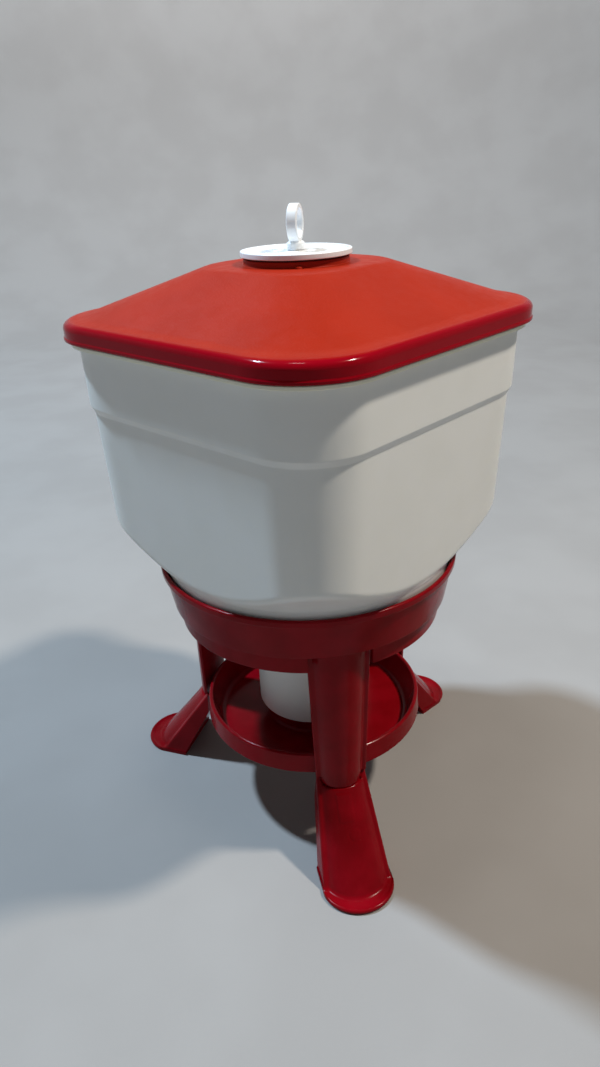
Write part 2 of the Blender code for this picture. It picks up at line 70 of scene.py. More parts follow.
RIM_TOP = 0.5863
SEAL_TOP = 0.5902            # the roof presses its seal on the rim from here
RIM_HALF = 0.1808
BEAD_HALF = 0.1870           # of the flange under the rim
BAND_HALF = 0.1787
BAND_LOW = 0.5155            # lower edge of the band under the tank's rim
SHOULDER_Z = 0.5085
SHOULDER_HALF = 0.1748
SHOULDER_CORNER = 0.0638
WALL_TAPER = 0.0438          # sideways travel of the wall per metre of height
COLLAR_Z = 0.3375            # where the cone under the tank meets the round collar
COLLAR_RADIUS = 0.1659
COLLAR_TAPER = 0.0970
CONE_SLOPE = 1.1400

LIP_RADIUS = 0.1720          # base ring
LIP_TOP = 0.3303
LEDGE_Z = 0.2793
SEAT_Z = 0.2825
BAND_RADIUS = 0.1545
BAND_BOTTOM = 0.2560

LEG_BACK = 0.1385
LEG_CREST = 0.1570
LEG_STRIP = 0.0040
LEG_TOP = 0.2787
EAR_Z = 0.1050
LEG_FOOT_Z = 0.0965
FOOT_TOP = 0.0960
FOOT_REACH = 0.2470


# ---------------------------------------------------------------- outlines
def smooth_min(a, b, width):
    """The smaller of two values, with the corner between them rounded over a width."""
    share = min(1.0, max(0.0, 0.5 + 0.5 * (b - a) / width))
    return b + (a - b) * share - width * share * (1.0 - share)


def smooth_max(a, b, width):
    return -smooth_min(-a, -b, width)


def smooth_step(low, high, value):
    share = min(1.0, max(0.0, (value - low) / (high - low)))
    return share * share * (3.0 - 2.0 * share)


def rounded(corners, closed=True, steps=5):
    """Outline through (a, b) or (a, b, radius) corners, with an arc where a radius is given."""
    points = []
    count = len(corners)
    for i, corner in enumerate(corners):
        here = Vector(corner[:2])
        end = not closed and i in (0, count - 1)
        if end or len(corner) < 3:
            points.append(tuple(here))
            continue
        before = Vector(corners[i - 1][:2]) - here
        after = Vector(corners[(i + 1) % count][:2]) - here
        opening = acos(max(-1.0, min(1.0, before.normalized().dot(after.normalized()))))
        reach = min(corner[2] / tan(opening / 2.0), 0.48 * before.length, 0.48 * after.length)
        radius = reach * tan(opening / 2.0)
        middle = (before.normalized() + after.normalized()).normalized()
        centre = here + middle * (radius / sin(opening / 2.0))
        start = here + before.normalized() * reach - centre
        finish = here + after.normalized() * reach - centre
        first = atan2(start.y, start.x)
        sweep = (atan2(finish.y, finish.x) - first + pi) % (2.0 * pi) - pi
        parts = max(2, ceil(steps * abs(sweep) / (pi / 2.0)))
        for k in range(parts + 1):
            angle = first + sweep * k / parts
            points.append((centre.x + radius * cos(angle), centre.y + radius * sin(angle)))
    return points


# ---------------------------------------------------------------- making meshes
def spun(points, turn):
    spin = Matrix.Rotation(turn, 3, "Z")
    return [spin @ Vector(point) for point in points]


def add_skin(bm, rows, ends):
    """Skin through loops of points, each counter-clockwise seen from above, the highest outer one first.
    With ends "joined" the last loop meets the first, as in a tube; with "capped" both ends are filled."""
    loops = [[bm.verts.new(point) for point in row] for row in rows]
    pairs = list(zip(loops, loops[1:]))
    if ends == "joined":
        pairs.append((loops[-1], loops[0]))
    count = len(loops[0])
    for upper, lower in pairs:
        for i in range(count):
            j = (i + 1) % count
            bm.faces.new((upper[i], lower[i], lower[j], upper[j]))
    if ends == "capped":
        bm.faces.new(loops[0])
        bm.faces.new(list(reversed(loops[-1])))


def add_turned(bm, outline, segments=96, span=None):
    """Outline of (radius, z) points, down the outer side, turned about Z.
    It goes all round, or over a span of angles."""
    around = segments if span is None else segments + 1
    first, sweep = (0.0, 2.0 * pi) if span is None else (span[0], span[1] - span[0])
    poles = {}
    rings = []
    for k in range(around):
        angle = first + sweep * k / segments
        ring = []
        for i, (radius, z) in enumerate(outline):
            if radius < 1e-7:
                if i not in poles:
                    poles[i] = bm.verts.new((0.0, 0.0, z))
                ring.append(poles[i])
            else:
                ring.append(bm.verts.new((radius * cos(angle), radius * sin(angle), z)))
        rings.append(ring)
    pairs = list(zip(rings, rings[1:]))
    if span is None:
        pairs.append((rings[-1], rings[0]))
    else:
        bm.faces.new(rings[0])
        bm.faces.new(list(reversed(rings[-1])))
    steps = len(outline) - 1 if poles else len(outline)
    for here, there in pairs:
        for i in range(steps):
            j = (i + 1) % len(outline)
            corners = [here[i], here[j], there[j], there[i]]
            bm.faces.new(list(dict.fromkeys(corners)))


def shown(name, bm, look, body, slot, *nodes, sharp=40.0):
    """Makes the mesh an object that rides on a body and stands for the CAD nodes named."""
    mesh = bpy.data.meshes.new(name)
    bm.to_mesh(mesh)
    bm.free()
    mesh.materials.append(look)
    mesh.shade_smooth()
    mesh.set_sharp_from_angle(angle=radians(sharp))
    made = bpy.data.objects.new(name, mesh)
    bpy.context.scene.collection.objects.link(made)
    weighted = made.modifiers.new("weighted_normals", "WEIGHTED_NORMAL")
    weighted.keep_sharp = True
    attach(made, body)
    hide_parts(*nodes)
    return made


def turned_piece(name, corners, look, body, slot, *nodes, segments=96, steps=5):
    bm = bmesh.new()
    add_turned(bm, rounded(corners, closed=corners[0][0] > 0.0, steps=steps), segments)
    return shown(name, bm, look, body, slot, *nodes)


# ---------------------------------------------------------------- materials
class Look:
    """Node material of moulded plastic, rubber or metal, with its detail at real scale in object space."""

    def __init__(self, name, colour, roughness, metallic=0.0, specular=0.5):
        self.material = bpy.data.materials.new(name)
        self.material.use_nodes = True
        self.tree = self.material.node_tree
        self.shader = self.tree.nodes["Principled BSDF"]
        self.place = self.tree.nodes.new("ShaderNodeTexCoord").outputs["Object"]
        self.shader.inputs["Base Color"].default_value = (*colour, 1.0)
        self.shader.inputs["Roughness"].default_value = roughness
        self.shader.inputs["Metallic"].default_value = metallic
        self.shader.inputs["Specular IOR Level"].default_value = specular
        self.normal = None

    def noise(self, size, detail=3.0, stretch=(1.0, 1.0, 1.0), rough=0.5):
        """Noise whose features are about the given size in metres."""
        mapping = self.tree.nodes.new("ShaderNodeMapping")
        mapping.inputs["Scale"].default_value = stretch
        texture = self.tree.nodes.new("ShaderNodeTexNoise")
        texture.inputs["Scale"].default_value = 1.0 / size
        texture.inputs["Detail"].default_value = detail
        texture.inputs["Roughness"].default_value = rough
        self.tree.links.new(self.place, mapping.inputs["Vector"])
        self.tree.links.new(mapping.outputs["Vector"], texture.inputs["Vector"])
        return texture.outputs["Fac"]

    def ranged(self, value, low, high, to_low=0.0, to_high=1.0):
        """The value mapped from one range to another, smoothly and clamped."""
        node = self.tree.nodes.new("ShaderNodeMapRange")
        node.interpolation_type = "SMOOTHSTEP"
        node.inputs["From Min"].default_value = low
        node.inputs["From Max"].default_value = high
        node.inputs["To Min"].default_value = to_low
        node.inputs["To Max"].default_value = to_high
        self.tree.links.new(value, node.inputs["Value"])
        return node.outputs["Result"]

    def mixed(self, share, first, second):
        """Colour between two, each an RGB triple or a socket."""
        node = self.tree.nodes.new("ShaderNodeMix")
        node.data_type = "RGBA"
        self.tree.links.new(share, node.inputs["Factor"])
        for name, value in (("A", first), ("B", second)):
            socket = [s for s in node.inputs if s.name == name and s.type == "RGBA"][0]
            if isinstance(value, tuple):
                socket.default_value = (*value, 1.0)
            else:
                self.tree.links.new(value, socket)
        return [s for s in node.outputs if s.type == "RGBA"][0]

    def joined(self, operation, first, second):
        """Two values through one maths operation; either may be a number."""
        node = self.tree.nodes.new("ShaderNodeMath")
        node.operation = operation
        for socket, value in zip(node.inputs, (first, second)):
            if isinstance(value, (int, float)):
                socket.default_value = value
            else:
                self.tree.links.new(value, socket)
        return node.outputs["Value"]

    def height(self):
        """Height above the floor, in the piece's rest position."""
        node = self.tree.nodes.new("ShaderNodeSeparateXYZ")
        self.tree.links.new(self.place, node.inputs["Vector"])
        return node.outputs["Z"]

    def colour(self, socket):
        self.tree.links.new(socket, self.shader.inputs["Base Color"])

    def roughness(self, socket):
        self.tree.links.new(socket, self.shader.inputs["Roughness"])

    def bump(self, height, depth):
        """Raises the surface by a height field, depth metres from its lowest to its highest."""
        node = self.tree.nodes.new("ShaderNodeBump")
        node.inputs["Strength"].default_value = 1.0
        node.inputs["Distance"].default_value = depth
        self.tree.links.new(height, node.inputs["Height"])
        if self.normal:
            self.tree.links.new(self.normal, node.inputs["Normal"])
        self.normal = node.outputs["Normal"]
        self.tree.links.new(self.normal, self.shader.inputs["Normal"])


ROOF_RIM_COLOUR = (0.27, 0.0012, 0.0070)


def roof_look():
    """Satin stippled faces over a glossy rolled edge."""
    look = Look("roof_red_plastic", (0.33, 0.017, 0.005), 0.4, specular=0.10)
    face = look.ranged(look.height(), 0.6008, 0.6030)
    cloudy = look.noise(0.060, 3.0)
    faces = look.mixed(look.ranged(cloudy, 0.35, 0.65), (0.315, 0.016, 0.004), (0.335, 0.018, 0.005))
    look.colour(look.mixed(face, ROOF_RIM_COLOUR, faces))
    worn = look.ranged(look.noise(0.012, 4.0), 0.3, 0.7, 0.38, 0.48)
    look.roughness(look.joined("ADD", look.joined("MULTIPLY", worn, face),
                               look.joined("MULTIPLY", look.joined("SUBTRACT", 1.0, face), 0.13)))
    stipple = look.joined("MULTIPLY", look.noise(0.0022, 2.0), face)
    look.bump(stipple, 0.00026)
    look.bump(look.noise(0.080, 1.0), 0.00015)
    return look.material


def glossy_look(name, dark, light, gloss, grain=0.00003, wave=0.0003, specular=0.5):
    """Glossy moulded plastic with slight clouding, uneven gloss and the faint waves of a moulded wall."""
    look = Look(name, light, gloss, specular=specular)
    look.colour(look.mixed(look.ranged(look.noise(0.035, 3.0), 0.35, 0.65), dark, light))
    look.roughness(look.ranged(look.noise(0.010, 5.0), 0.3, 0.7, gloss * 0.8, gloss * 1.35))
    look.bump(look.noise(0.0009, 2.0), grain)
    look.bump(look.noise(0.030, 1.0), wave)
    return look.material


def tank_look():
    """Slightly translucent white plastic, satin, with the soft waves of a large moulded wall; the rim and flange
    bead at its top carry painted light, a brighter cream.
    """
    look = Look("tank_white_plastic", (0.74, 0.735, 0.69), 0.4)
    cloudy = look.ranged(look.noise(0.080, 3.0), 0.35, 0.65)
    wall = look.mixed(cloudy, (0.74, 0.73, 0.69), (0.76, 0.75, 0.715))
    # Painted light: above z 0.5775 the rim and the flange bead are painted a brighter cream, standing in for the
    # light that catches and shines through the thin flange.
    look.colour(look.mixed(look.ranged(look.height(), 0.5765, 0.5775), wall, (0.84, 0.82, 0.66)))
    look.roughness(look.ranged(look.noise(0.014, 5.0), 0.3, 0.7, 0.33, 0.45))
    look.bump(look.noise(0.0012, 2.0), 0.00004)
    look.bump(look.noise(0.090, 1.0, stretch=(1.0, 1.0, 0.5)), 0.00008)
    look.shader.inputs["Subsurface Weight"].default_value = 0.18
    look.shader.inputs["Subsurface Radius"].default_value = (1.0, 0.9, 0.7)
    look.shader.inputs["Subsurface Scale"].default_value = 0.006
    return look.material


def rubber_look():
    look = Look("black_rubber", (0.02, 0.02, 0.02), 0.75)
    look.colour(look.mixed(look.ranged(look.noise(0.008, 4.0), 0.3, 0.7), (0.014,) * 3, (0.032,) * 3))
    look.roughness(look.ranged(look.noise(0.004, 4.0), 0.3, 0.7, 0.62, 0.82))
    look.bump(look.noise(0.0006, 2.0), 0.00005)
    return look.material


def steel_look():
    """Drawn stainless steel, with fine lines along the rod."""
    look = Look("drawn_steel", (0.58, 0.58, 0.57), 0.28, metallic=1.0)
    lines = look.noise(0.0005, 3.0, stretch=(1.0, 1.0, 0.03))
    look.colour(look.mixed(look.ranged(lines, 0.3, 0.7), (0.50, 0.50, 0.49), (0.66, 0.66, 0.65)))
    look.roughness(look.ranged(look.noise(0.006, 4.0), 0.3, 0.7, 0.22, 0.38))
    look.bump(lines, 0.00002)
    return look.material


ROOF_RED = roof_look()
STAND_RED = glossy_look("stand_red_plastic", (0.185, 0.0012, 0.0040), (0.225, 0.0018, 0.0060), 0.18,
                        specular=0.10)
TANK_WHITE = tank_look()
CAP_WHITE = glossy_look("cap_white_plastic", (0.82, 0.83, 0.84), (0.88, 0.885, 0.89), 0.24, wave=0.0001)
VALVE_GREY = glossy_look("valve_grey_plastic", (0.36, 0.37, 0.38), (0.44, 0.45, 0.46), 0.42, wave=0.0001)
RUBBER = rubber_look()
STEEL = steel_look()


# ---------------------------------------------------------------- square pieces that turn round
FLAT_STEPS = 12
CORNER_STEPS = 22
CORNER_FROM = radians(26.0)


def column_angles():
    angles = []
    for quarter in range(4):
        for k in range(FLAT_STEPS):
            angles.append(quarter * pi / 2 - CORNER_FROM + 2 * CORNER_FROM * k / FLAT_STEPS)
        for k in range(CORNER_STEPS):
            span = pi / 2 - 2 * CORNER_FROM
            angles.append(quarter * pi / 2 + CORNER_FROM + span * k / CORNER_STEPS)
    return angles


COLUMNS = column_angles()


def square_reach(angle, half, corner):
    """Distance from the axis to a rounded square's outline, in one direction."""
    across, along = abs(cos(angle)), abs(sin(angle))
    big, small = max(across, along), min(across, along)
    straight = half - corner
    if half * small / big <= straight:
        return half / big
    middle = straight * (across + along)
    return middle + sqrt(max(0.0, middle * middle - 2.0 * straight * straight + corner * corner))


def reach_row(reach, height):
    """Row of points from the distance and the height in each direction."""
    return spun([(reach(a) * cos(a), reach(a) * sin(a), height(a)) for a in COLUMNS], TANK_TURN)


def square_row(half, corner, z):
    return reach_row(lambda a: square_reach(a, half, corner), lambda a: z)


def round_row(radius, z):
    return reach_row(lambda a: radius, lambda a: z)


# ---------------------------------------------------------------- tank
CREASE_BLEND = 0.0070        # rounding of the crease between the wall and the cone
COLLAR_BLEND = 0.0040


def wall_half(z):
    return SHOULDER_HALF - (SHOULDER_Z - z) * WALL_TAPER


def tank_corner(half):
    return SHOULDER_CORNER + half - SHOULDER_HALF


def tank_row(half, z):
    return square_row(half, tank_corner(half), z)


def cone_radius(z):
    return COLLAR_RADIUS + (z - COLLAR_Z) * CONE_SLOPE


def crease_height(angle):
    """Height where the tapering square wall runs into the cone, found by halving."""
    low, high = COLLAR_Z - 0.004, SHOULDER_Z
    for _ in range(36):
        z = (low + high) / 2.0
        if cone_radius(z) < square_reach(angle, wall_half(z), tank_corner(wall_half(z))):
            low = z
        else:
            high = z
    return low


CREASE = {a: crease_height(a) for a in COLUMNS}


def tank_reach(angle, z, inset=0.0):
    """Distance of the tank's skin from its axis, from the shoulder down to the collar."""
    half = wall_half(z)
    square = square_reach(angle, half, tank_corner(half))
    wall = smooth_min(square, cone_radius(z), CREASE_BLEND)
    collar = COLLAR_RADIUS - max((COLLAR_Z - z) * COLLAR_TAPER, (z - COLLAR_Z) * 0.5)
    return smooth_max(wall, collar, COLLAR_BLEND) - inset


def tank_wall_rows(inset=0.0, coarse=False):
    """Rows from the shoulder to the collar, gathered where the wall folds into the cone."""
    top = SHOULDER_Z - 0.0120
    rows = []

    def row(height):
        rows.append(reach_row(lambda a: tank_reach(a, height(a), inset), height))

    above = (0.030, 0.018, 0.012, 0.0085, 0.0060, 0.0040, 0.0020, 0.0)
    for share in (0.0, 0.25, 0.5, 0.75):
        row(lambda a: top + (CREASE[a] + above[0] - top) * share)
    for step in above[::3] if coarse else above:
        row(lambda a: CREASE[a] + step)
    shares = ((0.3, 0.7, 1.0) if coarse
              else (0.03, 0.07, 0.12, 0.18, 0.26, 0.4, 0.6, 0.75, 0.86, 0.93, 0.97, 1.0))
    for share in shares:
        row(lambda a: CREASE[a] + (COLLAR_Z - CREASE[a]) * share)
    for drop in (0.0060,) if coarse else (0.0012, 0.0025, 0.0042, 0.0058):
        row(lambda a: COLLAR_Z - drop)
    return rows


def tank():
    rim = rounded([
        (RIM_HALF - 0.0022, RIM_TOP), (RIM_HALF, RIM_TOP, 0.0009), (RIM_HALF - 0.0002, 0.5818, 0.0006),
        (BEAD_HALF + 0.0006, 0.5814, 0.0008), (BEAD_HALF + 0.0006, 0.5776, 0.0006),
        (RIM_HALF - 0.0006, 0.5773, 0.0005),
        (BAND_HALF, BAND_LOW, 0.0040), (SHOULDER_HALF, SHOULDER_Z, 0.0040),
        (wall_half(0.4600), 0.4600)], closed=False, steps=7)[:-1]
    under = rounded([
        (0.1652, LIP_TOP), (0.1566, SEAT_Z + 0.0003, 0.0015), (0.1518, SEAT_Z + 0.0003, 0.0010),
        (0.1500, 0.2855, 0.0012), (0.0720, 0.2655, 0.0030), (0.0264, 0.2655, 0.0012),
        (0.0264, 0.2460, 0.0007), (0.0205, 0.2460, 0.0007), (0.0205, 0.2700, 0.0010),
        (0.0700, 0.2720, 0.0040), (0.1525, 0.2895, 0.0040), (0.1618, LIP_TOP - 0.0012)], closed=False)
    rows = [tank_row(half, z) for half, z in rim]
    rows += tank_wall_rows()
    rows += [round_row(radius, z) for radius, z in under]
    rows += list(reversed(tank_wall_rows(WALL, coarse=True)))
    rows += [tank_row(half - WALL, z) for half, z in
             ((SHOULDER_HALF, SHOULDER_Z + 0.0015), (BAND_HALF, BAND_LOW + 0.0010), (RIM_HALF, RIM_TOP))]
    bm = bmesh.new()
    add_skin(bm, rows, "joined")
    return shown("tank_shell", bm, TANK_WHITE, "tank", "tank_white", "tank", sharp=55.0)


# ---------------------------------------------------------------- roof
def lid_row(half, z):
    """Rounded square whose corners grow with it, from the plateau to the skirt."""
    share = (half - PLATEAU_HALF) / (LID_HALF - PLATEAU_HALF)
    return square_row(half, PLATEAU_CORNER + (LID_CORNER - PLATEAU_CORNER) * share, z)


def roof():
    boss = rounded([(0.0485, BOSS_TOP), (BOSS_RADIUS - 0.0004, BOSS_TOP, 0.0007),
                    (BOSS_RADIUS, PLATEAU_TOP, 0.0008), (0.0570, PLATEAU_TOP)], closed=False)
    outside = rounded([
        (0.0660, PLATEAU_TOP), (PLATEAU_HALF, PLATEAU_TOP, 0.0200), (0.1755, 0.6040, 0.0300),
        (LID_HALF - 0.0002, 0.6010, 0.0086), (LID_HALF - 0.0006, 0.5874, 0.0008),
        (LID_HALF + 0.0002, 0.5860, 0.0006), (LID_HALF + 0.0002, SKIRT_BOTTOM, 0.0007),
        (LID_HALF - WALL, SKIRT_BOTTOM, 0.0007), (LID_HALF - WALL, 0.5930, 0.0040),
        (0.1850, 0.5981)], closed=False, steps=9)
    channel = [(RIM_HALF + 0.0011, 0.5985), (RIM_HALF + 0.0011, SEAL_TOP),
               (RIM_HALF - 0.0037, SEAL_TOP), (RIM_HALF - 0.0037, 0.6003)]
    inside = [(0.1730, 0.6012), (0.1310, 0.6190), (PLATEAU_HALF + 0.0010, PLATEAU_TOP - 0.0046)]
    neck = rounded([(0.0520, PLATEAU_TOP - 0.0040), (0.0520, 0.6320, 0.0008), (0.0485, 0.6320, 0.0008),
                    (0.0485, BOSS_TOP)], closed=False)
    rows = [round_row(radius, z) for radius, z in boss]
    rows += [lid_row(half, z) for half, z in outside]
    rows += [tank_row(half, z) for half, z in channel]
    rows += [lid_row(half, z) for half, z in inside]
    rows += [round_row(radius, z) for radius, z in neck[:-1]]
    bm = bmesh.new()
    add_skin(bm, rows, "joined")
    return shown("roof_lid_shell", bm, ROOF_RED, "roof", "roof_red", "roof_lid", sharp=50.0)


def roof_nub():
    """Small half-round tab at the foot of the boss, on the roof's front hip."""
    bm = bmesh.new()
    direction = TANK_TURN + radians(225.0)
    rows = []
    for size, z in ((0.5, PLATEAU_TOP + 0.0019), (0.85, PLATEAU_TOP + 0.0016), (1.0, PLATEAU_TOP + 0.0008),
                    (1.05, PLATEAU_TOP - 0.0005)):
        rows.append(spun([(BOSS_RADIUS + 0.0014 + 0.0030 * size * cos(a), 0.0034 * size * sin(a), z)
                          for a in [2 * pi * k / 20 for k in range(20)]], direction))
    add_skin(bm, rows, "capped")
    made = shown("roof_tab", bm, ROOF_RED, "roof", "roof_red")
    return made


def roof_seal():
    bm = bmesh.new()
    low, high = RIM_TOP + 0.0003, SEAL_TOP - 0.0003
    middle = (low + high) / 2.0
    add_skin(bm, [tank_row(RIM_HALF - 0.0014 + 0.0017 * sin(a), middle + (high - low) / 2.0 * cos(a))
                  for a in [2 * pi * k / 12 for k in range(12)]], "joined")
    return shown("roof_seal_ring", bm, RUBBER, "roof", "rubber", "roof_seal")


# ---------------------------------------------------------------- cap and pull ring
def cap_pieces():
    turned_piece("fill_cap_disc", [
        (0.0110, 0.6571), (CAP_RADIUS - 0.0044, 0.6563, 0.0010), (CAP_RADIUS - 0.0034, CAP_TOP, 0.0006),
        (CAP_RADIUS, CAP_TOP, 0.0010), (CAP_RADIUS, 0.6530, 0.0008), (0.0466, 0.6530, 0.0006),
        (0.0466, 0.6450, 0.0004),
        (0.0474, 0.6440, 0.0004), (0.0466, 0.6430, 0.0004), (0.0462, 0.6350, 0.0006),
        (0.0437, 0.6350, 0.0006), (0.0437, 0.6536, 0.0012), (0.0087, 0.6536, 0.0012),
        (0.0085, 0.6330, 0.0004), (0.0053, 0.6330, 0.0004), (0.0053, 0.6572, 0.0004)],
        CAP_WHITE, "cap", "cap_white", "fill_cap", segments=144)
    turned_piece("cap_gasket_ring", [
        (0.0520, 0.6528, 0.0004), (0.0520, 0.6514, 0.0004), (0.0492, 0.6514, 0.0004),
        (0.0492, 0.6528, 0.0004)], RUBBER, "cap_seal", "rubber", "cap_gasket")
    turned_piece("gland_nut_knurled", [
        (0.0120, 0.6400, 0.0008), (0.0120, 0.6254, 0.0008), (0.0053, 0.6254, 0.0004),
        (0.0053, 0.6290), (0.0089, 0.6290), (0.0089, 0.6400)],
        CAP_WHITE, "cap", "cap_white", "gland_nut", segments=48)
    turned_piece("rod_seal_ring", [(0.0070 + 0.0015 * cos(a), 0.6310 + 0.0015 * sin(a)) for a in
                                   [radians(90 - 30 * k) for k in range(12)]],
                 RUBBER, "cap", "rubber", "rod_seal", segments=48)


RING_CENTRE = 0.6820
RING_TURN = radians(-24.4)


def pull_ring():
    """Flat band bent into an upright ring, on a low collar and a stem."""
    bm = bmesh.new()
    add_turned(bm, rounded([(0.0180, 0.0050, 0.0011), (0.0180, -0.0050, 0.0011), (0.0134, -0.0050, 0.0009),
                            (0.0134, 0.0050, 0.0009)]), 72)
    upright = Matrix.Translation((0.0, 0.0, RING_CENTRE)) @ Matrix.Rotation(RING_TURN, 4, "Z")
    bmesh.ops.transform(bm, matrix=upright @ Matrix.Rotation(pi / 2, 4, "Y"), verts=bm.verts[:])
    add_turned(bm, rounded([
        (0.0, 0.6657), (0.0068, 0.6657, 0.0012), (0.0092, 0.6636, 0.0008), (0.0092, 0.6576, 0.0007),
        (0.0048, 0.6576, 0.0004), (0.0048, 0.5984, 0.0006), (0.0, 0.5984)], closed=False), 64)
    return shown("pull_ring_band", bm, CAP_WHITE, "ring", "cap_white", "pull_ring")


# ---------------------------------------------------------------- outlet valve
def valve_pieces():
    turned_piece("stem_foot_cup", [
        (0.0088, 0.6055, 0.0008), (0.0088, 0.5922, 0.0008), (0.0060, 0.5922, 0.0004),
        (0.0060, 0.5962, 0.0005), (0.0051, 0.5982), (0.0051, 0.6055)],
        VALVE_GREY, "ring", "valve_grey", "stem_foot", segments=48)
    turned_piece("valve_rod_bar", [
        (0.0, 0.5968), (0.0040, 0.5966, 0.0012), (0.0040, 0.2275, 0.0005), (0.0030, 0.2270, 0.0003),
        (0.0030, 0.2116, 0.0006), (0.0, 0.2116)], STEEL, "valve", "steel", "valve_rod", segments=32)
    turned_piece("spring_collar_disc", [
        (0.0105, 0.3105, 0.0010), (0.0105, 0.3060, 0.0005),
        (0.0043, 0.3060, 0.0003), (0.0043, 0.3105, 0.0005)],
        VALVE_GREY, "valve", "valve_grey", "spring_collar", segments=48)
    turned_piece("valve_washer_disc", [
        (0.0242, 0.2296, 0.0006), (0.0242, 0.2272, 0.0006), (0.0076, 0.2272), (0.0076, 0.2296)],
        RUBBER, "valve", "rubber", "valve_washer")
    turned_piece("valve_head_disc", [
        (0.0073, 0.2315, 0.0005), (0.0073, 0.2269, 0.0003), (0.0246, 0.2269, 0.0006),
        (0.0246, 0.2240, 0.0010), (0.0105, 0.2216, 0.0030), (0.0033, 0.2216, 0.0003), (0.0033, 0.2266),
        (0.0043, 0.2266), (0.0043, 0.2315)], VALVE_GREY, "valve", "valve_grey", "valve_head")
    valve_nut()
    return_spring()
    rod_guide()


def valve_nut():
    """Hexagon nut with its corners turned off at both ends."""
    bm = bmesh.new()
    rows = []
    for inset, z in ((0.0007, 0.2213), (0.0, 0.2207), (0.0, 0.2161), (0.0007, 0.2155)):
        row = []
        for k in range(36):
            angle = 2 * pi * k / 36
            flat = 0.0059 / cos((angle + pi / 6) % (pi / 3) - pi / 6)
            row.append((min(flat, 0.0068 - inset) * cos(angle), min(flat, 0.0068 - inset) * sin(angle), z))
        rows.append(row)
    rows += [[(0.0037 * cos(2 * pi * k / 36), 0.0037 * sin(2 * pi * k / 36), z) for k in range(36)]
             for z in (0.2155, 0.2213)]
    add_skin(bm, rows, "joined")
    return shown("valve_nut_hex", bm, STEEL, "valve", "steel", "valve_nut", sharp=25.0)


def return_spring():
    """Compression spring with level end turns, between the rod guide and the spring collar."""
    turns, per_turn, sides = 6, 40, 10
    wire, mean = 0.0008, 0.0074
    low, high = 0.2742 + wire, 0.3056 - wire
    rows = []
    for i in range(turns * per_turn + 1):
        turn = i / per_turn
        eased = min(1.0, max(0.0, (turn - 0.75) / (turns - 1.5)))
        angle = 2 * pi * turn
        outward = Vector((cos(angle), sin(angle), 0.0))
        centre = Vector((0.0, 0.0, low + (high - low) * eased))
        rows.append([centre + outward * (mean + wire * cos(2 * pi * k / sides))
                     + Vector((0.0, 0.0, wire * sin(2 * pi * k / sides))) for k in range(sides)])
    bm = bmesh.new()
    add_skin(bm, rows, "capped")
    mesh = bpy.data.meshes.new("return_spring_coil")
    bm.to_mesh(mesh)
    bm.free()
    mesh.materials.append(STEEL)
    mesh.shade_smooth()
    made = bpy.data.objects.new("return_spring_coil", mesh)
    bpy.context.scene.collection.objects.link(made)
    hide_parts("return_spring")
    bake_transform(made)
    return made


def rod_guide():
    """Hub on three arms in a ring that lies in the outlet."""
    bm = bmesh.new()
    add_turned(bm, rounded([(0.0092, 0.2738, 0.0004), (0.0088, 0.2600, 0.0004), (0.0044, 0.2600, 0.0003),
                            (0.0044, 0.2738, 0.0003)]), 48)
    add_turned(bm, rounded([(0.0267, 0.2730, 0.0004), (0.0268, 0.2705), (0.0200, 0.2705, 0.0003),
                            (0.0198, 0.2620, 0.0004), (0.0180, 0.2620, 0.0004),
                            (0.0180, 0.2730, 0.0004)]), 72)
    for k in range(3):
        angle = radians(120.0 * k + 20.0)
        ends = [spun([(0.0085, -0.0012, z), (0.0185, -0.0012, z), (0.0185, 0.0012, z), (0.0085, 0.0012, z)],
                     angle) for z in (0.2727, 0.2640)]
        add_skin(bm, ends, "capped")
    return shown("rod_guide_spider", bm, VALVE_GREY, "tank", "valve_grey", "rod_guide")


# ---------------------------------------------------------------- neck and pan
def sector_rows(inner, outer, low, high, middle, spread):
    angles = [middle + spread * (k / 6 - 0.5) for k in range(7)]
    outline = [(outer * cos(a), outer * sin(a)) for a in angles]
    outline += [(inner * cos(a), inner * sin(a)) for a in reversed(angles)]
    return [[(x, y, z) for x, y in outline] for z in (high, low)]


